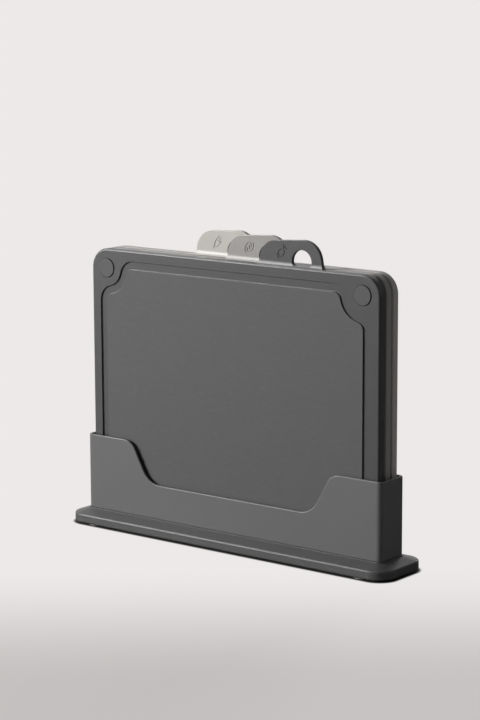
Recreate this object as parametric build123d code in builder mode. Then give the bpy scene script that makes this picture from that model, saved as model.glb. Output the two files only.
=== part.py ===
from build123d import *
from math import acos, cos, radians, sin, tan
import os

os.makedirs("parts", exist_ok=True)

# Three index chopping boards standing on edge in a sleeve on a low plinth.
# X runs along the boards, Y from the front to the back, Z up.
# The origin is on the table, under the middle of the stand. Millimetres.

# Boards
board_length = 350
board_height = 262
board_thickness = 8
board_corner_radius = 20
board_front_edge_radius = 2
board_rear_edge_radius = 0.6
board_spacing = 2.8
board_names = ["front", "middle", "rear"]

# Juice groove, in the front face of each board
rim_width = 10.8
groove_width = 8
groove_depth = 1.5
groove_floor_radius = 0.5
groove_outer_lip_radius = 0.25
groove_inner_lip_radius = 0.4
groove_outer_lead_radius = 16
groove_inner_lead_radius = 8

# Grip pads, rubber plugs with a head on each face, one in each board corner
pad_diameter = 19
pad_inset = 19.4
pad_land = 8.5
pad_standout = 0.9
pad_head_depth = 2.2
pad_core_diameter = 9
pad_edge_radius = 0.5
pad_clearance = 0.05
pad_ring_width = 0.6
pad_ring_depth = 1.2

# Index tabs, stepped from board to board, with a hanging hole and a food symbol
tab_width = 75.2
tab_height = 25.1
tab_thickness = 3.8
tab_flank_lean = 10
tab_top_tilt = 3.8
tab_corner_radius = 20
tab_root_radius = 4
tab_root_depth = 2.6
tab_sweep_radius = 10
tab_foot_inset = 0.7
tab_sink = 0.7
tab_edge_chamfer = 0.4
hole_edge_radius = 0.4
front_tab_x = 71.3
tab_step = 47
hole_width = 22.6
hole_height = 16.6
hole_shift = 13.3
hole_sill = 1
hole_corner_radius = 4
symbol_shift = -9.8
symbol_rise = 13
symbol_depth = 0.5
symbol_line = 0.9

# Sleeve that the boards stand in
sleeve_wall = 2.4
sleeve_height = 76
sleeve_corner_radius = 5.5
sleeve_floor = 2.2
sleeve_edge_radius = 1
sleeve_foot_radius = 0.8
board_end_room = 3.6
board_face_room = 1.9
lift_clearance = 8
guide_clearance = 0.6
guide_rib_width = 4
guide_rib_drop = 5
guide_rib_pitch = 60
guide_rib_count = 5

# Scoop in the front wall of the sleeve
scoop_width = 246.2
scoop_sill = 34.6
scoop_flank_angle = 61.4
scoop_lip_radius = 16
scoop_floor_radius = 24

# Rack that carries the boards, with two dividers let into its floor
rack_floor = 2.4
rack_clearance = 0.5
rack_corner_radius = 2
divider_height = 24
divider_clearance = 0.6
divider_pad_clearance = 10.1
divider_top_chamfer = 0.4
divider_seat_depth = 1
divider_seat_clearance = 0.1
divider_window_width = 24
divider_window_height = 12
divider_window_radius = 2
divider_window_pitch = 38

# Plinth
plinth_end_margin = 14.5
plinth_front_margin = 15.9
plinth_corner_radius = 18.6
plinth_rim_height = 8.9
plinth_height = 13.8
plinth_wall = 2.6
plinth_edge_radius = 1.8
plinth_base_radius = 1.8
plinth_collar_margin = 1.2
plinth_collar_height = 0.7
plinth_collar_radius = 0.3
plinth_rib = 2
plinth_rib_pitch = 30
plinth_rib_recess = 0.8

# Drain slots through the rack, the sleeve's floor and the plinth, midway between its ribs
drain_length = 22
drain_width = 6
drain_count = 4

# Screws from beneath, through the plinth into the rack's bosses
screw_diameter = 3.5
screw_length = 10
screw_head_diameter = 7
screw_head_height = 2.4
screw_head_radius = 0.8
screw_recess_depth = 1.2
screw_recess_width = 1
screw_recess_length = 3.5
screw_clearance = 0.05
screw_pilot_depth = 1
screw_columns = 3
screw_rows = 2
screw_cell_count = 5
screw_pitch_y = 18
boss_wall = 2
boss_clearance = 0.3
boss_grip_gap = 0.3
cup_wall = 1.8
cup_floor = 2
head_cover = 0.6

# Feet
foot_diameter = 17
foot_standout = 1.2
foot_seat_depth = 1.2
foot_clearance = 0.1
foot_seat_wall = 2
foot_seat_lap = 1.2
foot_end_inset = 31.5
foot_front_inset = 10.5
foot_edge_radius = 0.3

# Distance within which two edges or points count as level with each other
level_tolerance = 0.01

# Heights, from the table up
plinth_bottom_z = foot_standout
plinth_rim_z = plinth_bottom_z + plinth_rim_height
plinth_top_z = plinth_bottom_z + plinth_height
sleeve_top_z = plinth_top_z + sleeve_height
sleeve_floor_z = plinth_top_z + sleeve_floor
board_bottom_z = sleeve_floor_z + rack_floor
board_top_z = board_bottom_z + board_height
tab_root_z = board_top_z - tab_sink
scoop_sill_z = plinth_top_z + scoop_sill
screw_seat_z = plinth_bottom_z + head_cover + screw_head_height
cup_floor_z = screw_seat_z + cup_floor

# Sizes that follow from the boards
board_pitch = board_thickness + board_spacing
board_stack = len(board_names) * board_pitch - board_spacing
sleeve_inner_length = board_length + 2 * board_end_room
sleeve_inner_depth = board_stack + 2 * board_face_room
sleeve_length = sleeve_inner_length + 2 * sleeve_wall
sleeve_depth = sleeve_inner_depth + 2 * sleeve_wall
sleeve_inner_radius = sleeve_corner_radius - sleeve_wall
plinth_length = sleeve_length + 2 * plinth_end_margin
plinth_depth = sleeve_depth + 2 * plinth_front_margin
pad_pitch_x = board_length - 2 * pad_inset
pad_pitch_z = board_height - 2 * pad_inset
divider_length = pad_pitch_x - pad_diameter - 2 * divider_pad_clearance
divider_thickness = board_spacing - 2 * divider_clearance
divider_foot_z = board_bottom_z - divider_seat_depth
foot_pitch_x = plinth_length - 2 * foot_end_inset
foot_pitch_y = plinth_depth - 2 * foot_front_inset
screw_pitch_x = screw_cell_count * plinth_rib_pitch
boss_diameter = screw_diameter + 2 * (screw_clearance + boss_wall)
boss_hole_diameter = boss_diameter + 2 * boss_clearance

# How far a board lifts until its lower edge is clear of the sleeve's rim
board_lift = sleeve_top_z - board_bottom_z + lift_clearance


def front_plane(y):
    """An upright plane that faces the front, with X to the right and Z up."""
    return Plane.XZ.offset(-y)


def board_middle_y(index):
    return (index - (len(board_names) - 1) / 2) * board_pitch


def is_groove_lip(edge):
    """True for an edge of the groove's mouth, which lies inside the board's outline."""
    box = edge.bounding_box()
    reach_x = max(abs(box.min.X), abs(box.max.X))
    return reach_x < board_length / 2 - rim_width / 2 and box.max.Z < board_top_z - rim_width / 2


def groove_outline(inset, corner_radius, lead_radius):
    """A rounded rectangle whose corners pass round the pads."""
    with BuildSketch() as outline:
        Rectangle(board_length - 2 * inset, board_height - 2 * inset)
        with GridLocations(pad_pitch_x, pad_pitch_z, 2, 2):
            Circle(corner_radius, mode=Mode.SUBTRACT)
        fillet(outline.vertices(), lead_radius)
    return outline.sketch


def make_fish():
    """A fish: a pointed body, a tail and an eye."""
    nose = (-6.5, 0)
    waist = (3.6, 0)
    back = (-1.4, 3.2)
    belly = (-1.4, -3.2)
    tail_top = (7, 2.8)
    tail_bottom = (7, -2.8)
    eye = (-3.6, 0.6)
    with BuildSketch() as fish:
        with BuildLine():
            ThreePointArc(nose, back, waist)
            ThreePointArc(nose, belly, waist)
            Polyline(waist, tail_top, tail_bottom, close=True)
        trace(line_width=symbol_line)
        with Locations(eye):
            Circle(symbol_line / 2)
    return fish.sketch


def make_loaf():
    """A loaf seen from above: an oval with three cuts."""
    half_length = 6.8
    half_width = 4.3
    cut_length = 4
    cut_pitch = 3.1
    cut_count = 3
    cut_lean = 60
    with BuildSketch() as loaf:
        Ellipse(half_length, half_width)
        Ellipse(half_length - symbol_line, half_width - symbol_line, mode=Mode.SUBTRACT)
        with GridLocations(cut_pitch, 1, cut_count, 1):
            SlotOverall(cut_length, symbol_line, rotation=cut_lean)
    return loaf.sketch


def make_carrot():
    """A carrot: a tapered root and three leaves."""
    left_shoulder = (-3, 1)
    right_shoulder = (3, 1)
    crown = (0, 2.2)
    left_flank = (-2.1, -3.4)
    right_flank = (2.1, -3.4)
    tip = (0, -7.4)
    leaf_middle = 4.8
    leaf_length = 3.4
    leaf_fan = 35
    with BuildSketch() as carrot:
        with BuildLine():
            ThreePointArc(left_shoulder, crown, right_shoulder)
            ThreePointArc(right_shoulder, right_flank, tip)
            ThreePointArc(left_shoulder, left_flank, tip)
        trace(line_width=symbol_line)
        for lean in (-leaf_fan, 0, leaf_fan):
            with PolarLocations(leaf_middle, 1, start_angle=90 + lean):
                SlotOverall(leaf_length, symbol_line)
    return carrot.sketch


board_symbols = [make_fish(), make_loaf(), make_carrot()]
symbol_turns = [50, 44, -40]


def is_tab_outline(edge):
    """True for an edge of the tab's outline, on its front or its back, above the board."""
    box = edge.bounding_box()
    crosses = abs(edge.tangent_at(0.5).Y) > 0.99
    level = box.size.Z < level_tolerance
    return box.min.Z > tab_root_z - level_tolerance and not crosses and not level


def is_hole_edge(edge, hole_x):
    """True for an edge of the hanging hole, on the tab's front or its back."""
    box = edge.bounding_box()
    reach_x = hole_width / 2 + level_tolerance
    inside_x = box.min.X > hole_x - reach_x and box.max.X < hole_x + reach_x
    above_sill = box.min.Z > board_top_z + level_tolerance
    inside_z = above_sill and box.max.Z < board_top_z + hole_height + level_tolerance
    crosses = abs(edge.tangent_at(0.5).Y) > 0.99
    return inside_x and inside_z and not crosses


def make_tab(middle_y, tab_x):
    """The tab of one board, swept out at its foot to the full width of the board's edge."""
    half_foot = board_thickness / 2 - tab_foot_inset
    half_tab = tab_thickness / 2
    sweep_angle = acos(1 - (half_foot - half_tab) / tab_sweep_radius)
    sweep_top = tab_root_z + tab_sweep_radius * sin(sweep_angle)
    lean = tan(radians(tab_flank_lean))
    tilt = tan(radians(tab_top_tilt))
    rise = tab_height + tab_sink
    left_rise = (rise - tilt * tab_width / 2) / (1 - tilt * lean)
    right_rise = (rise + tilt * tab_width / 2) / (1 + tilt * lean)
    left_x = tab_x - tab_width / 2
    right_x = tab_x + tab_width / 2
    with BuildPart() as tab:
        with BuildSketch(front_plane(middle_y - board_thickness / 2)) as outline:
            with BuildLine():
                Polyline(
                    (left_x, tab_root_z),
                    (left_x + lean * left_rise, tab_root_z + left_rise),
                    (right_x - lean * right_rise, tab_root_z + right_rise),
                    (right_x, tab_root_z),
                    close=True,
                )
            make_face()
            with Locations((tab_x, tab_root_z)):
                Rectangle(tab_width + 4 * tab_root_radius, tab_root_depth, align=(Align.CENTER, Align.MAX))
            top_corners = outline.vertices().sort_by(Axis.Y)[-2:]
            fillet(top_corners, tab_corner_radius)
            root_corners = outline.vertices().filter_by(lambda v: abs(v.Y - tab_root_z) < level_tolerance)
            root_corners = root_corners.sort_by(lambda v: abs(v.X - tab_x))[:2]
            fillet(root_corners, tab_root_radius)
        extrude(amount=-board_thickness)
        with BuildSketch(Plane.YZ.offset(tab_x)):
            with BuildLine():
                root_z = tab_root_z - tab_root_depth
                tip_z = tab_root_z + right_rise + tab_sink
                front_foot = (middle_y - half_foot, tab_root_z)
                front_neck = (middle_y - half_tab, sweep_top)
                back_foot = (middle_y + half_foot, tab_root_z)
                back_neck = (middle_y + half_tab, sweep_top)
                sweep_mid = sweep_angle / 2
                mid_out = half_tab + tab_sweep_radius * (1 - cos(sweep_mid))
                mid_z = sweep_top - tab_sweep_radius * sin(sweep_mid)
                front_root = (middle_y - half_foot, root_z)
                back_root = (middle_y + half_foot, root_z)
                Polyline(front_foot, front_root, back_root, back_foot)
                ThreePointArc(back_foot, (middle_y + mid_out, mid_z), back_neck)
                Polyline(back_neck, (middle_y + half_tab, tip_z), (middle_y - half_tab, tip_z), front_neck)
                ThreePointArc(front_neck, (middle_y - mid_out, mid_z), front_foot)
            make_face()
        extrude(amount=tab_width, both=True, mode=Mode.INTERSECT)
        chamfer(tab.edges().filter_by(is_tab_outline), tab_edge_chamfer)
        sill_z = board_top_z + hole_sill
        with BuildSketch(front_plane(middle_y - board_thickness / 2)) as hole:
            with Locations((tab_x + hole_shift, sill_z)):
                Rectangle(hole_width, hole_height - hole_sill, align=(Align.CENTER, Align.MIN))
            fillet(hole.vertices().group_by(Axis.Y)[-1], hole_width / 2 - level_tolerance)
            fillet(hole.vertices().group_by(Axis.Y)[0], hole_corner_radius)
        extrude(amount=-board_thickness, mode=Mode.SUBTRACT)
        hole_edges = tab.edges().filter_by(lambda e: is_hole_edge(e, tab_x + hole_shift))
        fillet(hole_edges, hole_edge_radius)
    return tab.part


def make_board(index):
    """One board: blank, tab, hanging hole, juice groove, pad seats and food symbol."""
    middle_y = board_middle_y(index)
    face_y = middle_y - board_thickness / 2
    tab_x = front_tab_x - index * tab_step
    middle_z = board_bottom_z + board_height / 2
    outer_corner = pad_diameter / 2 + pad_land
    tab = make_tab(middle_y, tab_x)
    groove_outer = groove_outline(rim_width, outer_corner, groove_outer_lead_radius)
    groove_inner = groove_outline(
        rim_width + groove_width, outer_corner + groove_width, groove_inner_lead_radius
    )
    with BuildPart() as board:
        with BuildSketch(front_plane(face_y)):
            with Locations((0, middle_z)):
                RectangleRounded(board_length, board_height, board_corner_radius)
        extrude(amount=-board_thickness)
        fillet(board.faces().sort_by(Axis.Y)[0].edges(), board_front_edge_radius)
        fillet(board.faces().sort_by(Axis.Y)[-1].edges(), board_rear_edge_radius)
        add(tab)

        with BuildSketch(front_plane(face_y)):
            with Locations((0, middle_z)):
                add(groove_outer)
                add(groove_inner, mode=Mode.SUBTRACT)
        extrude(amount=-groove_depth, mode=Mode.SUBTRACT)
        groove_floor = board.faces().filter_by(Axis.Y).filter_by_position(
            Axis.Y, face_y + groove_depth - level_tolerance, face_y + groove_depth + level_tolerance
        )
        fillet(groove_floor.edges(), groove_floor_radius)
        field_face = board.faces().filter_by(Axis.Y).sort_by(Axis.Y)[0:2].sort_by(SortBy.AREA)[-1]
        fillet(field_face.edges(), groove_inner_lip_radius)
        rim_face = board.faces().filter_by(Axis.Y).sort_by(Axis.Y)[0:2].sort_by(SortBy.AREA)[0]
        fillet(rim_face.edges().filter_by(is_groove_lip), groove_outer_lip_radius)

        seat_radius = pad_diameter / 2 + pad_clearance
        ring_radius = pad_diameter / 2 + pad_ring_width
        with BuildSketch(front_plane(face_y)):
            with Locations((0, middle_z)):
                with GridLocations(pad_pitch_x, pad_pitch_z, 2, 2):
                    Circle(pad_core_diameter / 2 + pad_clearance)
        extrude(amount=-board_thickness, mode=Mode.SUBTRACT)
        for plane in (front_plane(face_y), front_plane(face_y + board_thickness - pad_head_depth)):
            with BuildSketch(plane):
                with Locations((0, middle_z)):
                    with GridLocations(pad_pitch_x, pad_pitch_z, 2, 2):
                        Circle(seat_radius)
            extrude(amount=-pad_head_depth, mode=Mode.SUBTRACT)
        for plane in (front_plane(face_y), front_plane(face_y + board_thickness - pad_ring_depth)):
            with BuildSketch(plane):
                with Locations((0, middle_z)):
                    with GridLocations(pad_pitch_x, pad_pitch_z, 2, 2):
                        Circle(ring_radius)
            extrude(amount=-pad_ring_depth, mode=Mode.SUBTRACT)

        with BuildSketch(front_plane(middle_y - tab_thickness / 2)):
            with Locations(Location((tab_x + symbol_shift, board_top_z + symbol_rise), symbol_turns[index])):
                add(board_symbols[index])
        extrude(amount=-symbol_depth, mode=Mode.SUBTRACT)
    return board.part


def make_pad(middle_y, x, z):
    """One grip pad: two flat heads joined by a core through the board."""
    half_web = board_thickness / 2 - pad_head_depth
    half_height = board_thickness / 2 + pad_standout
    with BuildPart() as pad:
        with BuildSketch(Plane((x, middle_y, z), x_dir=(1, 0, 0), z_dir=(0, 0, 1))):
            with BuildLine():
                Polyline(
                    (0, -half_height),
                    (pad_diameter / 2, -half_height),
                    (pad_diameter / 2, -half_web),
                    (pad_core_diameter / 2, -half_web),
                    (pad_core_diameter / 2, half_web),
                    (pad_diameter / 2, half_web),
                    (pad_diameter / 2, half_height),
                    (0, half_height),
                    close=True,
                )
            make_face()
        revolve(axis=Axis((x, middle_y, z), (0, 1, 0)))
        rims = pad.edges().group_by(Axis.Y)
        fillet(rims[0] + rims[-1], pad_edge_radius)
    return pad.part


def make_sleeve():
    """The open-topped sleeve with its scoop, floor and guide ribs."""
    scoop_rise = sleeve_top_z - scoop_sill_z
    sill_half_width = scoop_width / 2 - scoop_rise / tan(radians(scoop_flank_angle))
    beyond_x = sleeve_length / 2 + sleeve_wall
    beyond_z = sleeve_top_z + sleeve_wall
    rib_top_z = sleeve_top_z - guide_rib_drop
    low_rib_top_z = scoop_sill_z - guide_rib_drop
    with BuildPart() as sleeve:
        with BuildSketch(Plane.XY.offset(plinth_top_z)):
            RectangleRounded(sleeve_length, sleeve_depth, sleeve_corner_radius)
        extrude(amount=sleeve_height)
        with BuildSketch(Plane.XY.offset(sleeve_floor_z)):
            RectangleRounded(sleeve_inner_length, sleeve_inner_depth, sleeve_inner_radius)
        extrude(amount=sleeve_height, mode=Mode.SUBTRACT)

        with BuildSketch(front_plane(-sleeve_depth / 2)) as scoop:
            with BuildLine():
                Polyline(
                    (-beyond_x, beyond_z),
                    (-beyond_x, sleeve_top_z),
                    (-scoop_width / 2, sleeve_top_z),
                    (-sill_half_width, scoop_sill_z),
                    (sill_half_width, scoop_sill_z),
                    (scoop_width / 2, sleeve_top_z),
                    (beyond_x, sleeve_top_z),
                    (beyond_x, beyond_z),
                    close=True,
                )
            make_face()
            lip_corners = scoop.vertices().filter_by(
                lambda v: abs(abs(v.X) - scoop_width / 2) < level_tolerance
            )
            fillet(lip_corners, scoop_lip_radius)
            sill_corners = scoop.vertices().group_by(Axis.Y)[0]
            fillet(sill_corners, scoop_floor_radius)
        extrude(amount=-sleeve_depth / 2, mode=Mode.SUBTRACT)

        rim_edges = sleeve.edges().filter_by(
            lambda e: e.bounding_box().min.Z > scoop_sill_z - level_tolerance
        )
        rim_edges = rim_edges.filter_by(lambda e: abs(e.length - sleeve_wall) > level_tolerance)
        fillet(rim_edges, sleeve_edge_radius)
        foot_edges = sleeve.faces().sort_by(Axis.Z)[0].edges()
        fillet(foot_edges, sleeve_foot_radius)

        rib_rise = board_face_room - guide_clearance
        for side, top_z in ((-1, low_rib_top_z), (1, rib_top_z)):
            wall_y = side * sleeve_inner_depth / 2
            align_y = Align.MIN if side < 0 else Align.MAX
            with Locations((0, wall_y, sleeve_floor_z)):
                with GridLocations(guide_rib_pitch, 1, guide_rib_count, 1):
                    Box(
                        guide_rib_width,
                        rib_rise,
                        top_z - sleeve_floor_z,
                        align=(Align.CENTER, align_y, Align.MIN),
                    )
        end_rise = board_end_room - guide_clearance
        for side in (-1, 1):
            align_x = Align.MIN if side < 0 else Align.MAX
            with Locations((side * sleeve_inner_length / 2, 0, sleeve_floor_z)):
                with GridLocations(1, board_pitch, 1, len(board_names)):
                    Box(
                        end_rise,
                        guide_rib_width,
                        rib_top_z - sleeve_floor_z,
                        align=(align_x, Align.CENTER, Align.MIN),
                    )

        with BuildSketch(Plane.XY.offset(plinth_top_z)):
            with GridLocations(screw_pitch_x, screw_pitch_y, screw_columns, screw_rows):
                Circle(boss_hole_diameter / 2)
            with GridLocations(screw_pitch_x, 1, screw_columns - 1, 1):
                with GridLocations(plinth_rib_pitch, 1, drain_count, 1):
                    SlotOverall(drain_length, drain_width)
        extrude(amount=sleeve_floor, mode=Mode.SUBTRACT)
    return sleeve.part


def make_rack():
    """The rack: a floor for the boards, grooves for the dividers and screw bosses beneath."""
    rib_rise = board_face_room - guide_clearance
    end_rise = board_end_room - guide_clearance
    rack_length = sleeve_inner_length - 2 * (end_rise + rack_clearance)
    rack_depth = sleeve_inner_depth - 2 * (rib_rise + rack_clearance)
    seat_length = divider_length + 2 * divider_seat_clearance
    seat_width = divider_thickness + 2 * divider_seat_clearance
    boss_end_z = cup_floor_z + boss_grip_gap
    with BuildPart() as rack:
        with BuildSketch(Plane.XY.offset(sleeve_floor_z)):
            RectangleRounded(rack_length, rack_depth, rack_corner_radius)
            with GridLocations(screw_pitch_x, 1, screw_columns - 1, 1):
                with GridLocations(plinth_rib_pitch, 1, drain_count, 1):
                    SlotOverall(drain_length, drain_width, mode=Mode.SUBTRACT)
        extrude(amount=rack_floor)
        with BuildSketch(Plane.XY.offset(divider_foot_z)):
            with GridLocations(1, board_pitch, 1, len(board_names) - 1):
                Rectangle(seat_length, seat_width)
        extrude(amount=divider_seat_depth, mode=Mode.SUBTRACT)
        with BuildSketch(Plane.XY.offset(boss_end_z)):
            with GridLocations(screw_pitch_x, screw_pitch_y, screw_columns, screw_rows):
                Circle(boss_diameter / 2)
        extrude(amount=sleeve_floor_z - boss_end_z)
        with BuildSketch(Plane.XY.offset(boss_end_z)):
            with GridLocations(screw_pitch_x, screw_pitch_y, screw_columns, screw_rows):
                Circle(screw_diameter / 2 + screw_clearance)
        extrude(amount=screw_seat_z + screw_length + screw_pilot_depth - boss_end_z, mode=Mode.SUBTRACT)
    return rack.part


def make_divider(middle_y):
    """One divider: an upright plate with windows, standing in its groove in the rack."""
    window_count = int((divider_length - divider_window_width) / divider_window_pitch) + 1
    front_y = middle_y - divider_thickness / 2
    with BuildPart() as divider:
        with BuildSketch(Plane.XY.offset(divider_foot_z)):
            with Locations((0, middle_y)):
                Rectangle(divider_length, divider_thickness)
        extrude(amount=divider_seat_depth + divider_height)
        top_edges = divider.faces().sort_by(Axis.Z)[-1].edges().filter_by(Axis.X)
        chamfer(top_edges, divider_top_chamfer)
        with BuildSketch(front_plane(front_y)):
            with Locations((0, board_bottom_z + divider_height / 2)):
                with GridLocations(divider_window_pitch, 1, window_count, 1):
                    RectangleRounded(
                        divider_window_width, divider_window_height, divider_window_radius
                    )
        extrude(amount=-divider_thickness, mode=Mode.SUBTRACT)
    return divider.part


def make_plinth():
    """The plinth: a rimmed shell with a sloping top, a collar, ribs, foot seats and screw cups."""
    skin = plinth_wall
    low_ceiling_z = plinth_rim_z - skin
    high_ceiling_z = plinth_top_z - skin
    collar_foot_z = plinth_top_z - plinth_collar_height
    collar_length = sleeve_length + 2 * plinth_collar_margin
    collar_depth = sleeve_depth + 2 * plinth_collar_margin
    collar_corner_radius = sleeve_corner_radius + plinth_collar_margin
    rib_bottom_z = plinth_bottom_z + plinth_rib_recess
    cavity_length = plinth_length - 2 * plinth_wall
    cavity_depth = plinth_depth - 2 * plinth_wall
    well_length = sleeve_length - 2 * skin
    well_depth = sleeve_depth - 2 * skin
    rib_count = 2 * int(cavity_length / 2 / plinth_rib_pitch)
    with BuildPart() as plinth:
        with BuildSketch(Plane.XY.offset(plinth_bottom_z)):
            RectangleRounded(plinth_length, plinth_depth, plinth_corner_radius)
        extrude(amount=plinth_rim_height)
        with BuildSketch(Plane.XY.offset(plinth_rim_z)):
            RectangleRounded(plinth_length, plinth_depth, plinth_corner_radius)
        with BuildSketch(Plane.XY.offset(collar_foot_z)):
            RectangleRounded(collar_length, collar_depth, collar_corner_radius)
        loft(ruled=True)
        with BuildSketch(Plane.XY.offset(collar_foot_z)):
            RectangleRounded(collar_length, collar_depth, collar_corner_radius)
        extrude(amount=plinth_collar_height)
        fillet(plinth.faces().sort_by(Axis.Z)[-1].edges(), plinth_collar_radius)
        rim_edges = plinth.edges().filter_by_position(
            Axis.Z, plinth_rim_z - level_tolerance, plinth_rim_z + level_tolerance
        )
        rim_edges = rim_edges.filter_by(lambda e: e.bounding_box().size.Z < level_tolerance)
        fillet(rim_edges, plinth_edge_radius)
        fillet(plinth.faces().sort_by(Axis.Z)[0].edges(), plinth_base_radius)

        with BuildSketch(Plane.XY.offset(plinth_bottom_z)):
            RectangleRounded(cavity_length, cavity_depth, plinth_corner_radius - plinth_wall)
        extrude(amount=low_ceiling_z - plinth_bottom_z, mode=Mode.SUBTRACT)
        with BuildSketch(Plane.XY.offset(low_ceiling_z)):
            RectangleRounded(well_length, well_depth, sleeve_corner_radius)
        extrude(amount=high_ceiling_z - low_ceiling_z, mode=Mode.SUBTRACT)

        with Locations((0, 0, rib_bottom_z)):
            with GridLocations(plinth_rib_pitch, 1, rib_count, 1):
                Box(
                    plinth_rib,
                    cavity_depth + plinth_wall,
                    low_ceiling_z - rib_bottom_z,
                    align=(Align.CENTER, Align.CENTER, Align.MIN),
                )
                Box(
                    plinth_rib,
                    well_depth,
                    high_ceiling_z - rib_bottom_z,
                    align=(Align.CENTER, Align.CENTER, Align.MIN),
                )
            with GridLocations(1, well_depth, 1, 2):
                Box(
                    cavity_length + plinth_wall,
                    plinth_rib,
                    low_ceiling_z - rib_bottom_z,
                    align=(Align.CENTER, Align.CENTER, Align.MIN),
                )

        with BuildSketch(Plane.XY.offset(plinth_bottom_z)):
            with GridLocations(foot_pitch_x, foot_pitch_y, 2, 2):
                Circle(foot_diameter / 2 + foot_seat_wall)
            RectangleRounded(
                cavity_length + foot_seat_lap,
                cavity_depth + foot_seat_lap,
                plinth_corner_radius - plinth_wall + foot_seat_lap / 2,
                mode=Mode.INTERSECT,
            )
        extrude(amount=low_ceiling_z - plinth_bottom_z)
        with BuildSketch(Plane.XY.offset(screw_seat_z)):
            with GridLocations(screw_pitch_x, screw_pitch_y, screw_columns, screw_rows):
                Circle(boss_hole_diameter / 2 + cup_wall)
        extrude(amount=high_ceiling_z - screw_seat_z)

        with BuildSketch(Plane.XY.offset(plinth_bottom_z)):
            with GridLocations(foot_pitch_x, foot_pitch_y, 2, 2):
                Circle(foot_diameter / 2 + foot_clearance)
        extrude(amount=foot_seat_depth, mode=Mode.SUBTRACT)
        with BuildSketch(Plane.XY.offset(cup_floor_z)):
            with GridLocations(screw_pitch_x, screw_pitch_y, screw_columns, screw_rows):
                Circle(boss_hole_diameter / 2)
        extrude(amount=plinth_top_z - cup_floor_z, mode=Mode.SUBTRACT)
        with BuildSketch(Plane.XY.offset(plinth_bottom_z)):
            with GridLocations(screw_pitch_x, screw_pitch_y, screw_columns, screw_rows):
                Circle(screw_head_diameter / 2 + cup_wall / 2)
        extrude(amount=screw_seat_z - plinth_bottom_z, mode=Mode.SUBTRACT)
        with BuildSketch(Plane.XY.offset(screw_seat_z)):
            with GridLocations(screw_pitch_x, screw_pitch_y, screw_columns, screw_rows):
                Circle(screw_diameter / 2 + screw_clearance)
        extrude(amount=cup_floor, mode=Mode.SUBTRACT)
        with BuildSketch(Plane.XY.offset(plinth_bottom_z)):
            with GridLocations(screw_pitch_x, 1, screw_columns - 1, 1):
                with GridLocations(plinth_rib_pitch, 1, drain_count, 1):
                    SlotOverall(drain_length, drain_width)
        extrude(amount=plinth_height, mode=Mode.SUBTRACT)
    return plinth.part


def make_screws():
    """Six pan-head screws with a cross recess."""
    with BuildPart() as screws:
        with BuildSketch(Plane.XY.offset(screw_seat_z)):
            with GridLocations(screw_pitch_x, screw_pitch_y, screw_columns, screw_rows):
                Circle(screw_head_diameter / 2)
        extrude(amount=-screw_head_height)
        fillet(screws.faces().group_by(Axis.Z)[0].edges(), screw_head_radius)
        with BuildSketch(Plane.XY.offset(screw_seat_z)):
            with GridLocations(screw_pitch_x, screw_pitch_y, screw_columns, screw_rows):
                Circle(screw_diameter / 2)
        extrude(amount=screw_length)
        with BuildSketch(Plane.XY.offset(screw_seat_z - screw_head_height)):
            with GridLocations(screw_pitch_x, screw_pitch_y, screw_columns, screw_rows):
                Rectangle(screw_recess_length, screw_recess_width)
                Rectangle(screw_recess_width, screw_recess_length)
        extrude(amount=screw_recess_depth, mode=Mode.SUBTRACT)
    return screws.part


def make_foot(x, y):
    """One round foot, let into the plinth."""
    with BuildPart() as foot:
        with BuildSketch():
            with Locations((x, y)):
                Circle(foot_diameter / 2)
        extrude(amount=foot_standout + foot_seat_depth)
        fillet(foot.faces().sort_by(Axis.Z)[0].edges(), foot_edge_radius)
    return foot.part


def save(part, name):
    part.label = name
    export_step(part, f"parts/{name}.step")


save(make_plinth(), "base_plinth")
save(make_sleeve(), "stand_sleeve")
save(make_rack(), "divider_rack")
save(make_divider(-board_pitch / 2), "front_divider")
save(make_divider(board_pitch / 2), "rear_divider")
save(make_screws(), "base_screws")

for side, x in (("left", -foot_pitch_x / 2), ("right", foot_pitch_x / 2)):
    for end, y in (("front", -foot_pitch_y / 2), ("rear", foot_pitch_y / 2)):
        save(make_foot(x, y), f"foot_{end}_{side}")

for index, name in enumerate(board_names):
    save(make_board(index), f"{name}_board")
    middle_z = board_bottom_z + board_height / 2
    for side, x in (("left", -pad_pitch_x / 2), ("right", pad_pitch_x / 2)):
        for level, rise in (("lower", -pad_pitch_z / 2), ("upper", pad_pitch_z / 2)):
            pad = make_pad(board_middle_y(index), x, middle_z + rise)
            save(pad, f"{name}_pad_{level}_{side}")

print("board lift", round(board_lift, 2))
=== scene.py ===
import bpy
import math
from mathutils import Matrix, Vector

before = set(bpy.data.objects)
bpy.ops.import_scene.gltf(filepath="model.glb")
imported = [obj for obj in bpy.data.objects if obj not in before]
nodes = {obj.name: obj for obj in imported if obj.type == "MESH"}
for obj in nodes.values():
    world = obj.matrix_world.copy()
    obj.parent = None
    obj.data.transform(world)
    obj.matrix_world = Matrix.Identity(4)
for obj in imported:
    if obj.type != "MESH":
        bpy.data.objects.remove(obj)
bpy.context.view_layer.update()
mm = 0.001
print("frame loaded:", len(nodes), "nodes")


# Colours are written as sRGB hex and turned linear here.
def linearColour(hexText):
    channels = [int(hexText[i:i + 2], 16) / 255 for i in (1, 3, 5)]
    return [c / 12.92 if c <= 0.04045 else ((c + 0.055) / 1.055) ** 2.4 for c in channels] + [1.0]


# Adds one node: settings go to its sockets or its own options, links to its sockets.
def addNode(tree, kind, settings=None, links=None):
    node = tree.nodes.new(kind)
    for name, value in (settings or {}).items():
        if isinstance(name, int) or name in node.inputs:
            node.inputs[name].default_value = value
        else:
            setattr(node, name, value)
    for name, source in (links or {}).items():
        tree.links.new(source, node.inputs[name])
    return node


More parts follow.
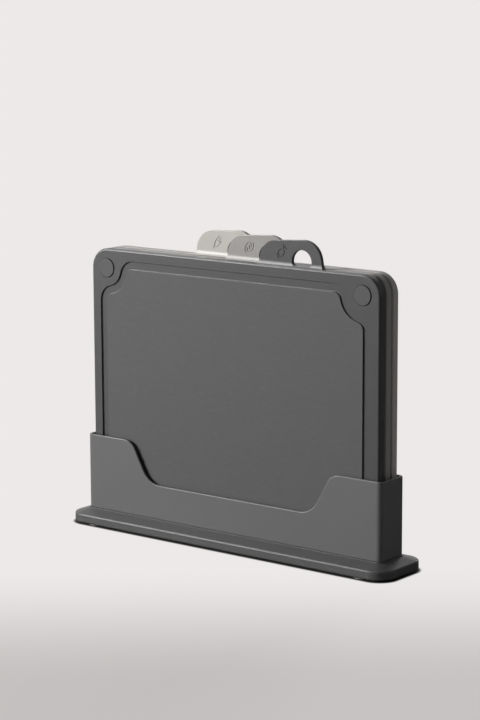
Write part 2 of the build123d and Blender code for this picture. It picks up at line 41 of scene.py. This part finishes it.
def startMaterial(name):
    material = bpy.data.materials.new(name)
    material.use_nodes = True
    tree = material.node_tree
    tree.nodes.clear()
    place = addNode(tree, "ShaderNodeTexCoord").outputs["Object"]
    return material, tree, place


def endMaterial(material, tree, shader):
    addNode(tree, "ShaderNodeOutputMaterial", {}, {"Surface": shader})
    return material


def dress(material, *names):
    for name in names:
        for slot in nodes[name].material_slots:
            slot.material = material


# Camera, fitted to the photo: metres, degrees, and the lens in millimetres
cameraLook = {
    "place": (1.33363, -1.69450, 0.57333),
    "heading": 38.18,
    "tilt": 10.25,
    "roll": -0.24,
    "lens": 113.38,
    "farthest": 60,
}

heading, tilt, roll = (math.radians(cameraLook[k]) for k in ("heading", "tilt", "roll"))
forward = Vector((
    -math.sin(heading) * math.cos(tilt),
    math.cos(heading) * math.cos(tilt),
    -math.sin(tilt),
))
level = forward.cross(Vector((0, 0, 1))).normalized()
upright = level.cross(forward)
right = math.cos(roll) * level + math.sin(roll) * upright
up = -math.sin(roll) * level + math.cos(roll) * upright
camera = bpy.data.objects.new("photoCamera", bpy.data.cameras.new("photoCamera"))
bpy.context.scene.collection.objects.link(camera)
turn = Matrix((right, up, -forward)).transposed().to_4x4()
camera.matrix_world = Matrix.Translation(cameraLook["place"]) @ turn
camera.data.lens = cameraLook["lens"]
camera.data.clip_end = cameraLook["farthest"]
bpy.context.scene.camera = camera
print("camera placed")


# Moulded ABS with a fine spark-eroded grain: an even satin charcoal with soft sheen and no sparkle.
standLook = {
    "colour": "#727273",
    "cloudColour": "#6d6d6e",
    "cloudSize": 60 * mm,
    "grainSize": 1.1 * mm,      # the real grain, about 0.15 mm, is too fine to show
    "grainDepth": 0.02 * mm,
    "grainSpread": (0.3, 0.7),  # the part of the noise that sets the roughness
    "roughness": (0.34, 0.42),
}


def mouldedAbs(name, look):
    material, tree, place = startMaterial(name)
    cloud = addNode(tree, "ShaderNodeTexNoise", {"Scale": 1 / look["cloudSize"], "Detail": 3.0},
                    {"Vector": place})
    colour = addNode(tree, "ShaderNodeMix", {
        "data_type": "RGBA",
        6: linearColour(look["colour"]),
        7: linearColour(look["cloudColour"]),
    }, {0: cloud.outputs["Fac"]})
    grain = addNode(tree, "ShaderNodeTexNoise", {"Scale": 1 / look["grainSize"], "Detail": 2.0},
                    {"Vector": place})
    rough = addNode(tree, "ShaderNodeMapRange", {
        "From Min": look["grainSpread"][0],
        "From Max": look["grainSpread"][1],
        "To Min": look["roughness"][0],
        "To Max": look["roughness"][1],
    }, {"Value": grain.outputs["Fac"]})
    bump = addNode(tree, "ShaderNodeBump", {"Strength": 1.0, "Distance": look["grainDepth"]},
                   {"Height": grain.outputs["Fac"]})
    shader = addNode(tree, "ShaderNodeBsdfPrincipled", {"IOR": 1.5}, {
        "Base Color": colour.outputs[2],
        "Roughness": rough.outputs["Result"],
        "Normal": bump.outputs["Normal"],
    })
    return endMaterial(material, tree, shader.outputs["BSDF"])


dress(mouldedAbs("abs_moulded_charcoal", standLook), "stand_sleeve")

# Painted shade: the plinth is the same plastic as the sleeve, but its colour is written a shade deeper
# because its upward faces take more light.
plinthShadedLook = dict(standLook, colour="#5f5f60", cloudColour="#5a5a5b")
dress(mouldedAbs("abs_moulded_charcoal_plinth", plinthShadedLook), "base_plinth")

# Inside the sleeve: darker and more matt
rackLook = dict(standLook, colour="#454446", cloudColour="#403f41", cloudSize=40 * mm,
                roughness=(0.5, 0.58))
dress(mouldedAbs("abs_moulded_dark", rackLook), "divider_rack", "front_divider", "rear_divider")
print("stand dressed")


# Moulded polypropylene: a smooth satin rim and groove round a cutting field with a fine woven grain,
# which is matt, so the field stays even while the rim takes the light.
boardShape = {
    "middleHeight": 150.6 * mm,
    "fieldHalfLength": 156.2 * mm,
    "fieldHalfHeight": 112.2 * mm,
    "fieldEdge": (0.2 * mm, 0.8 * mm),
    "padX": 155.6 * mm,
    "padZ": 111.6 * mm,
    "padReach": 26 * mm,
    "threadPitch": 1.8 * mm,    # the real weave, about 0.8 mm, is too fine to show
    "threadDepth": 0.05 * mm,
    "fleckLength": 6 * mm,
    "fleckWidth": 0.9 * mm,
    "fleckSpread": (0.5, 0.75),
    "grainSize": 1.2 * mm,
    "grainDepth": 0.012 * mm,
    "driftScale": 90.0,         # patches about 11 mm across
    "driftShare": 0.08,         # how far they vary the roughness
    "sheen": (0.32, 0.6),       # roughness of the rim and of the field
}

boardLooks = {
    "front": {"rim": "#525254", "field": "#59595b", "fleck": "#5e5e60"},
    "middle": {"rim": "#adaba9", "field": "#adaba9", "fleck": "#b2b0ae"},
    "rear": {"rim": "#d2cfca", "field": "#d2cfca", "fleck": "#d7d4cf"},
}

waveFactor = 20 / (2 * math.pi)     # bands in one unit of a wave texture at a scale of 1


def mouldedPolypropylene(name, look):
    shape = boardShape
    material, tree, place = startMaterial(name)
    axes = addNode(tree, "ShaderNodeSeparateXYZ", {}, {0: place})

    # Two sets of fine threads, bent a little so that they never line up
    threads = {}
    for direction in ("X", "Z"):
        threads[direction] = addNode(tree, "ShaderNodeTexWave", {
            "bands_direction": direction,
            "Scale": 1 / (shape["threadPitch"] * waveFactor),
            "Distortion": 0.6,
            "Detail": 1.0,
            "Detail Scale": 1.5,
        }, {"Vector": place}).outputs["Fac"]
    drift = addNode(tree, "ShaderNodeTexNoise", {"Scale": shape["driftScale"], "Detail": 2.0},
                    {"Vector": place})
    grain = addNode(tree, "ShaderNodeTexNoise", {"Scale": 1 / shape["grainSize"], "Detail": 2.0},
                    {"Vector": place})

    # Each row adds a node: the name of its result, its kind, its settings, and what its inputs take,
    # by the names of the results above.
    known = {
        "x": axes.outputs["X"],
        "z": axes.outputs["Z"],
        "threadsX": threads["X"],
        "threadsZ": threads["Z"],
        "drift": drift.outputs["Fac"],
        "grain": grain.outputs["Fac"],
    }
    rows = (
        # How far a point lies inside the field's outline, which bends round the pads
        ("sideways", "Math", {"operation": "ABSOLUTE"}, {0: "x"}),
        ("rise", "Math", {"operation": "SUBTRACT", 1: shape["middleHeight"]}, {0: "z"}),
        ("upDown", "Math", {"operation": "ABSOLUTE"}, {0: "rise"}),
        ("insideX", "Math", {"operation": "SUBTRACT", 0: shape["fieldHalfLength"]}, {1: "sideways"}),
        ("insideZ", "Math", {"operation": "SUBTRACT", 0: shape["fieldHalfHeight"]}, {1: "upDown"}),
        ("toPadX", "Math", {"operation": "SUBTRACT", 1: shape["padX"]}, {0: "sideways"}),
        ("toPadZ", "Math", {"operation": "SUBTRACT", 1: shape["padZ"]}, {0: "upDown"}),
        ("squareX", "Math", {"operation": "MULTIPLY"}, {0: "toPadX", 1: "toPadX"}),
        ("squareZ", "Math", {"operation": "MULTIPLY"}, {0: "toPadZ", 1: "toPadZ"}),
        ("squares", "Math", {"operation": "ADD"}, {0: "squareX", 1: "squareZ"}),
        ("toPad", "Math", {"operation": "SQRT"}, {0: "squares"}),
        ("offPad", "Math", {"operation": "SUBTRACT", 1: shape["padReach"]}, {0: "toPad"}),
        ("insideBoth", "Math", {"operation": "MINIMUM"}, {0: "insideX", 1: "insideZ"}),
        ("inside", "Math", {"operation": "MINIMUM"}, {0: "insideBoth", 1: "offPad"}),
        ("field", "MapRange", {
            "From Min": shape["fieldEdge"][0],
            "From Max": shape["fieldEdge"][1],
        }, {"Value": "inside"}),

        # The weave on the field, over the grain everywhere
        ("crossings", "Math", {"operation": "MULTIPLY"}, {0: "threadsX", 1: "threadsZ"}),
        ("weave", "Math", {"operation": "MULTIPLY"}, {0: "crossings", 1: "field"}),
        ("grainRise", "Math", {"operation": "MULTIPLY", 1: shape["grainDepth"] / mm}, {0: "grain"}),
        ("weaveRise", "Math", {"operation": "MULTIPLY", 1: shape["threadDepth"] / mm}, {0: "weave"}),
        ("height", "Math", {"operation": "ADD"}, {0: "grainRise", 1: "weaveRise"}),

        # Satin on the rim and matt on the field, and never quite even
        ("sheen", "MapRange", {"To Min": shape["sheen"][0], "To Max": shape["sheen"][1]}, {"Value": "field"}),
        ("driftMiddle", "Math", {"operation": "SUBTRACT", 1: 0.5}, {0: "drift"}),
        ("driftPart", "Math", {"operation": "MULTIPLY", 1: shape["driftShare"]}, {0: "driftMiddle"}),
        ("roughness", "Math", {"operation": "ADD"}, {0: "sheen", 1: "driftPart"}),
    )
    for result, kind, settings, links in rows:
        sources = {socket: known[source] for socket, source in links.items()}
        known[result] = addNode(tree, f"ShaderNode{kind}", settings, sources).outputs[0]

    bump = addNode(tree, "ShaderNodeBump", {"Strength": 1.0, "Distance": mm},
                   {"Height": known["height"]})

    # Long pale flecks along the field
    stretch = addNode(tree, "ShaderNodeMapping", {
        "Scale": (1 / shape["fleckLength"], 1 / shape["fleckWidth"], 1 / shape["fleckWidth"]),
    }, {"Vector": place})
    fleck = addNode(tree, "ShaderNodeTexNoise", {"Scale": 1.0, "Detail": 1.0},
                    {"Vector": stretch.outputs["Vector"]})
    fleckPart = addNode(tree, "ShaderNodeMapRange", {
        "From Min": shape["fleckSpread"][0],
        "From Max": shape["fleckSpread"][1],
    }, {"Value": fleck.outputs["Fac"]})
    fieldColour = addNode(tree, "ShaderNodeMix", {
        "data_type": "RGBA",
        6: linearColour(look["field"]),
        7: linearColour(look["fleck"]),
    }, {0: fleckPart.outputs["Result"]})
    colour = addNode(tree, "ShaderNodeMix", {"data_type": "RGBA", 6: linearColour(look["rim"])},
                     {0: known["field"], 7: fieldColour.outputs[2]})
    shader = addNode(tree, "ShaderNodeBsdfPrincipled", {"IOR": 1.49}, {
        "Base Color": colour.outputs[2],
        "Roughness": known["roughness"],
        "Normal": bump.outputs["Normal"],
    })
    return endMaterial(material, tree, shader.outputs["BSDF"])


# Moulded thermoplastic rubber: dead matt, a shade off its board, with a very fine grain.
padLook = {
    "colours": {"front": "#575759", "middle": "#a8a6a4", "rear": "#d4d1cb"},
    "grainSize": 0.9 * mm,
    "grainDepth": 0.02 * mm,
    "grainShade": 0.9,
    "roughness": 0.55,
}


def mouldedRubber(name, colourText):
    material, tree, place = startMaterial(name)
    grain = addNode(tree, "ShaderNodeTexNoise", {"Scale": 1 / padLook["grainSize"], "Detail": 2.0},
                    {"Vector": place})
    pale = linearColour(colourText)
    colour = addNode(tree, "ShaderNodeMix", {
        "data_type": "RGBA",
        6: pale,
        7: [c * padLook["grainShade"] for c in pale[:3]] + [1.0],
    }, {0: grain.outputs["Fac"]})
    bump = addNode(tree, "ShaderNodeBump", {"Strength": 1.0, "Distance": padLook["grainDepth"]},
                   {"Height": grain.outputs["Fac"]})
    shader = addNode(tree, "ShaderNodeBsdfPrincipled", {
        "IOR": 1.47,
        "Roughness": padLook["roughness"],
    }, {
        "Base Color": colour.outputs[2],
        "Normal": bump.outputs["Normal"],
    })
    return endMaterial(material, tree, shader.outputs["BSDF"])


for board, look in boardLooks.items():
    dress(mouldedPolypropylene(f"polypropylene_moulded_{board}", look), f"{board}_board")
    padNames = [f"{board}_pad_{level}_{side}" for level in ("lower", "upper") for side in ("left", "right")]
    dress(mouldedRubber(f"rubber_moulded_{board}", padLook["colours"][board]), *padNames)
print("boards dressed")


# Cast silicone: pale, soft and translucent, so the feet glow a little where light passes.
footLook = {
    "colour": "#e6e4df",
    "cloudColour": "#d9d6d0",
    "cloudSize": 3 * mm,
    "roughness": 0.35,
    "through": 0.5,
}


def castSilicone(name):
    material, tree, place = startMaterial(name)
    cloud = addNode(tree, "ShaderNodeTexNoise", {"Scale": 1 / footLook["cloudSize"], "Detail": 2.0},
                    {"Vector": place})
    colour = addNode(tree, "ShaderNodeMix", {
        "data_type": "RGBA",
        6: linearColour(footLook["colour"]),
        7: linearColour(footLook["cloudColour"]),
    }, {0: cloud.outputs["Fac"]})
    body = addNode(tree, "ShaderNodeBsdfPrincipled", {"IOR": 1.41, "Roughness": footLook["roughness"]},
                   {"Base Color": colour.outputs[2]})
    through = addNode(tree, "ShaderNodeBsdfTranslucent", {}, {"Color": colour.outputs[2]})
    mixed = addNode(tree, "ShaderNodeMixShader", {0: footLook["through"]},
                    {1: body.outputs["BSDF"], 2: through.outputs["BSDF"]})
    return endMaterial(material, tree, mixed.outputs["Shader"])


dress(castSilicone("silicone_cast_clear"), *[n for n in nodes if n.startswith("foot_")])


# Zinc-plated steel: cool and bright, with the soft mottling of plating.
screwLook = {
    "colour": "#c6c9cc",
    "mottleColour": "#b2b6ba",
    "mottleSize": 1.5 * mm,
    "roughness": (0.25, 0.42),
}


def platedSteel(name):
    material, tree, place = startMaterial(name)
    mottle = addNode(tree, "ShaderNodeTexNoise", {"Scale": 1 / screwLook["mottleSize"], "Detail": 3.0},
                     {"Vector": place})
    colour = addNode(tree, "ShaderNodeMix", {
        "data_type": "RGBA",
        6: linearColour(screwLook["colour"]),
        7: linearColour(screwLook["mottleColour"]),
    }, {0: mottle.outputs["Fac"]})
    rough = addNode(tree, "ShaderNodeMapRange", {
        "To Min": screwLook["roughness"][0],
        "To Max": screwLook["roughness"][1],
    }, {"Value": mottle.outputs["Fac"]})
    shader = addNode(tree, "ShaderNodeBsdfPrincipled", {"Metallic": 1.0}, {
        "Base Color": colour.outputs[2],
        "Roughness": rough.outputs["Result"],
    })
    return endMaterial(material, tree, shader.outputs["BSDF"])


dress(platedSteel("steel_zinc_plated"), "base_screws")
print("feet and screws dressed")


# The studio: a plain pale floor that fades into a pale background, and soft light from the left.
# Lengths and distances are in metres.
studio = {
    "background": "#ece9e8",
    "floorSeen": "#f6f3f1",         # the floor's paint as the camera sees it
    "floorBounce": "#a8a5a3",       # and in the light that it throws back
    "floorRadius": 12.0,
    "floorSides": 128,
    "floorRoughness": 0.6,
    "floorSpecular": 0.2,
    "cloudSize": 0.2,
    "cloudShade": 0.97,
    "towardsFront": (0.62, -0.79, 0),
    "paleTo": 0.08,                 # this far ahead of the object the floor is fully pale
    "paleUntil": 0.44,              # and from here on it is palest only by the share below
    "frontPale": 0.42,
    "farFrom": 0.58,                # between these distances from the middle it turns pale again
    "farTo": 1.0,
    "footprint": (0.1955, 0.035),   # half the plinth's length and depth
    "footprintCorner": 0.0186,
    "footprintFade": 0.004,
    "paintedShadeUnder": 0.08,                # painted shade: the paint's colour is scaled down to this under the object
    "paintedGlossShade": 0.4,                 # painted shade: the paint's colour is scaled to this in gloss, so the object reflects a dimmer floor
    "fill": 0.03,                   # strength of the surroundings in shade
    "dimSide": 0.15,                # and in gloss on the right
    "sideTurn": 0.4,                # how wide the turn from pale to dim is
    "cardFrom": -0.5,               # the card on the left, a glow of the floor seen only in gloss, begins and is full here
    "cardTo": -1.3,
}

bpy.ops.object.select_all(action="DESELECT")
bpy.ops.mesh.primitive_circle_add(
    vertices=studio["floorSides"], radius=studio["floorRadius"], fill_type="NGON")
floor = bpy.context.object
floor.name = "studioFloor"


# Smooth painted plaster: even, pale and matt, with the faintest clouds.
def paintedPlaster():
    material, tree, place = startMaterial("plaster_smooth_pale")
    path = addNode(tree, "ShaderNodeLightPath")
    cloud = addNode(tree, "ShaderNodeTexNoise", {"Scale": 1 / studio["cloudSize"], "Detail": 3.0},
                    {"Vector": place})
    shade = addNode(tree, "ShaderNodeMix", {
        "data_type": "RGBA",
        6: linearColour(studio["floorBounce"]),
        7: linearColour(studio["floorSeen"]),
    }, {0: path.outputs["Is Camera Ray"]})

    # Seen from the camera, the floor is as pale as the background round the object and behind it,
    # a little darker towards the front, and pale again far out, below the lamps.
    ahead = addNode(tree, "ShaderNodeVectorMath", {
        "operation": "DOT_PRODUCT",
        1: studio["towardsFront"],
    }, {0: place})
    pale = addNode(tree, "ShaderNodeMapRange", {
        "interpolation_type": "SMOOTHSTEP",
        "From Min": studio["paleUntil"],
        "From Max": studio["paleTo"],
        "To Min": studio["frontPale"],
    }, {"Value": ahead.outputs["Value"]})
    reach = addNode(tree, "ShaderNodeVectorMath", {"operation": "LENGTH"}, {0: place})
    far = addNode(tree, "ShaderNodeMapRange", {
        "interpolation_type": "SMOOTHSTEP",
        "From Min": studio["farFrom"],
        "From Max": studio["farTo"],
    }, {"Value": reach.outputs["Value"]})
    paleOrFar = addNode(tree, "ShaderNodeMath", {"operation": "MAXIMUM"},
                        {0: pale.outputs["Result"], 1: far.outputs["Result"]})

    # Under the object the glow is taken away, so its own shade shows, and the paint is darkened there as
    # painted shade. The margin runs from the rounded footprint outwards.
    corner = studio["footprintCorner"]
    straight = [length - corner for length in studio["footprint"]]
    folded = addNode(tree, "ShaderNodeVectorMath", {"operation": "ABSOLUTE"}, {0: place})
    past = addNode(tree, "ShaderNodeVectorMath", {"operation": "SUBTRACT", 1: (*straight, 0)},
                   {0: folded.outputs[0]})
    outside = addNode(tree, "ShaderNodeVectorMath", {"operation": "MAXIMUM"}, {0: past.outputs[0]})
    margin = addNode(tree, "ShaderNodeVectorMath", {"operation": "LENGTH"}, {0: outside.outputs[0]})
    uncovered = addNode(tree, "ShaderNodeMapRange", {
        "interpolation_type": "SMOOTHSTEP",
        "From Min": corner,
        "From Max": corner + studio["footprintFade"],
    }, {"Value": margin.outputs["Value"]})
    paler = addNode(tree, "ShaderNodeMath", {"operation": "MULTIPLY"},
                    {0: paleOrFar.outputs[0], 1: uncovered.outputs["Result"]})

    # The paint: a little cloudy, darkened under the object as painted shade, and dimmed in gloss as painted
    # shade in what the object reflects
    tones = (
        (cloud.outputs["Fac"], studio["cloudShade"], 1.0),
        (uncovered.outputs["Result"], studio["paintedShadeUnder"], 1.0),
        (path.outputs["Is Glossy Ray"], 1.0, studio["paintedGlossShade"]),
    )
    colour = shade.outputs[2]
    for amount, without, full in tones:
        tone = addNode(tree, "ShaderNodeMapRange", {"To Min": without, "To Max": full}, {"Value": amount})
        colour = addNode(tree, "ShaderNodeVectorMath", {"operation": "SCALE"},
                         {0: colour, "Scale": tone.outputs["Result"]}).outputs[0]
    paint = addNode(tree, "ShaderNodeBsdfPrincipled", {
        "Roughness": studio["floorRoughness"],
        "Specular IOR Level": studio["floorSpecular"],
    }, {"Base Color": colour})

    # The pale glow shows to the camera and through clear pieces, and in gloss the floor's left part glows as
    # a card seen only in reflections.
    clear = addNode(tree, "ShaderNodeMath", {"operation": "MAXIMUM"},
                    {0: path.outputs["Is Camera Ray"], 1: path.outputs["Is Transmission Ray"]})
    clearPart = addNode(tree, "ShaderNodeMath", {"operation": "MULTIPLY"},
                        {0: paler.outputs[0], 1: clear.outputs[0]})
    axes = addNode(tree, "ShaderNodeSeparateXYZ", {}, {0: place})
    card = addNode(tree, "ShaderNodeMapRange", {
        "interpolation_type": "SMOOTHSTEP",
        "From Min": studio["cardFrom"],
        "From Max": studio["cardTo"],
    }, {"Value": axes.outputs["X"]})
    glossPart = addNode(tree, "ShaderNodeMath", {"operation": "MULTIPLY"},
                        {0: card.outputs["Result"], 1: path.outputs["Is Glossy Ray"]})
    share = addNode(tree, "ShaderNodeMath", {"operation": "MAXIMUM"},
                    {0: clearPart.outputs[0], 1: glossPart.outputs[0]})
    glow = addNode(tree, "ShaderNodeEmission", {
        "Color": linearColour(studio["background"]),
        "Strength": 1.0,
    })
    mixed = addNode(tree, "ShaderNodeMixShader", {}, {
        0: share.outputs[0],
        1: paint.outputs["BSDF"],
        2: glow.outputs["Emission"],
    })
    return endMaterial(material, tree, mixed.outputs["Shader"])


floor.data.materials.append(paintedPlaster())

# The surroundings: full pale for the camera and through clear pieces, a low fill for shade,
# and in gloss pale on the left and dim on the right
world = bpy.data.worlds.new("studioWorld")
bpy.context.scene.world = world
world.use_nodes = True
sky = world.node_tree
sky.nodes.clear()
path = addNode(sky, "ShaderNodeLightPath")
around = addNode(sky, "ShaderNodeTexCoord")
sides = addNode(sky, "ShaderNodeSeparateXYZ", {}, {0: around.outputs["Generated"]})
gloss = addNode(sky, "ShaderNodeMapRange", {
    "interpolation_type": "SMOOTHSTEP",
    "From Min": studio["sideTurn"],
    "From Max": -studio["sideTurn"],
    "To Min": studio["dimSide"],
    "To Max": 1.0,
}, {"Value": sides.outputs["X"]})
shaded = addNode(sky, "ShaderNodeMix", {2: studio["fill"]},
                 {0: path.outputs["Is Glossy Ray"], 3: gloss.outputs["Result"]})
clear = addNode(sky, "ShaderNodeMath", {"operation": "MAXIMUM"},
                {0: path.outputs["Is Camera Ray"], 1: path.outputs["Is Transmission Ray"]})
strength = addNode(sky, "ShaderNodeMix", {3: 1.0}, {0: clear.outputs[0], 2: shaded.outputs[0]})
glow = addNode(sky, "ShaderNodeBackground", {"Color": linearColour(studio["background"])},
               {"Strength": strength.outputs[0]})
addNode(sky, "ShaderNodeOutputWorld", {}, {"Surface": glow.outputs["Background"]})

# Each lamp is a soft round panel: heading from the front towards the right and height above the table
# in degrees, distance and size in metres, power in watts. A lamp that fills lights what is matt, and
# one that shines shows in gloss.
lampAim = Vector((0, 0, 0.14))      # about the middle of the object
lamps = {
    "keyPanel": {"heading": -46, "height": 16, "distance": 4.4, "size": 1.9, "power": 178,
                 "colour": "#fffefc", "fills": True, "shines": True},
    "rimPanel": {"heading": -75, "height": 50, "distance": 3.6, "size": 0.9, "power": 36,
                 "colour": "#ffffff", "fills": False, "shines": True},
    "sidePanel": {"heading": 114, "height": 22, "distance": 3.4, "size": 1.4, "power": 7,
                  "colour": "#fbfcff", "fills": True, "shines": True},
    "backPanel": {"heading": -166, "height": 14, "distance": 3.6, "size": 1.4, "power": 56,
                  "colour": "#fbfcff", "fills": True, "shines": False},
}

for name, lamp in lamps.items():
    side, height = math.radians(lamp["heading"]), math.radians(lamp["height"])
    away = Vector((
        math.sin(side) * math.cos(height),
        -math.cos(side) * math.cos(height),
        math.sin(height),
    ))
    panel = bpy.data.objects.new(name, bpy.data.lights.new(name, "AREA"))
    bpy.context.scene.collection.objects.link(panel)
    panel.location = lampAim + away * lamp["distance"]
    panel.rotation_euler = away.to_track_quat("Z", "Y").to_euler()
    panel.data.shape = "DISK"
    panel.data.size = lamp["size"]
    panel.data.energy = lamp["power"]
    panel.data.color = linearColour(lamp["colour"])[:3]
    panel.visible_diffuse = lamp["fills"]
    panel.visible_glossy = lamp["shines"]
    panel.visible_camera = False
print("studio lit")

bpy.context.scene.view_settings.view_transform = "Standard"
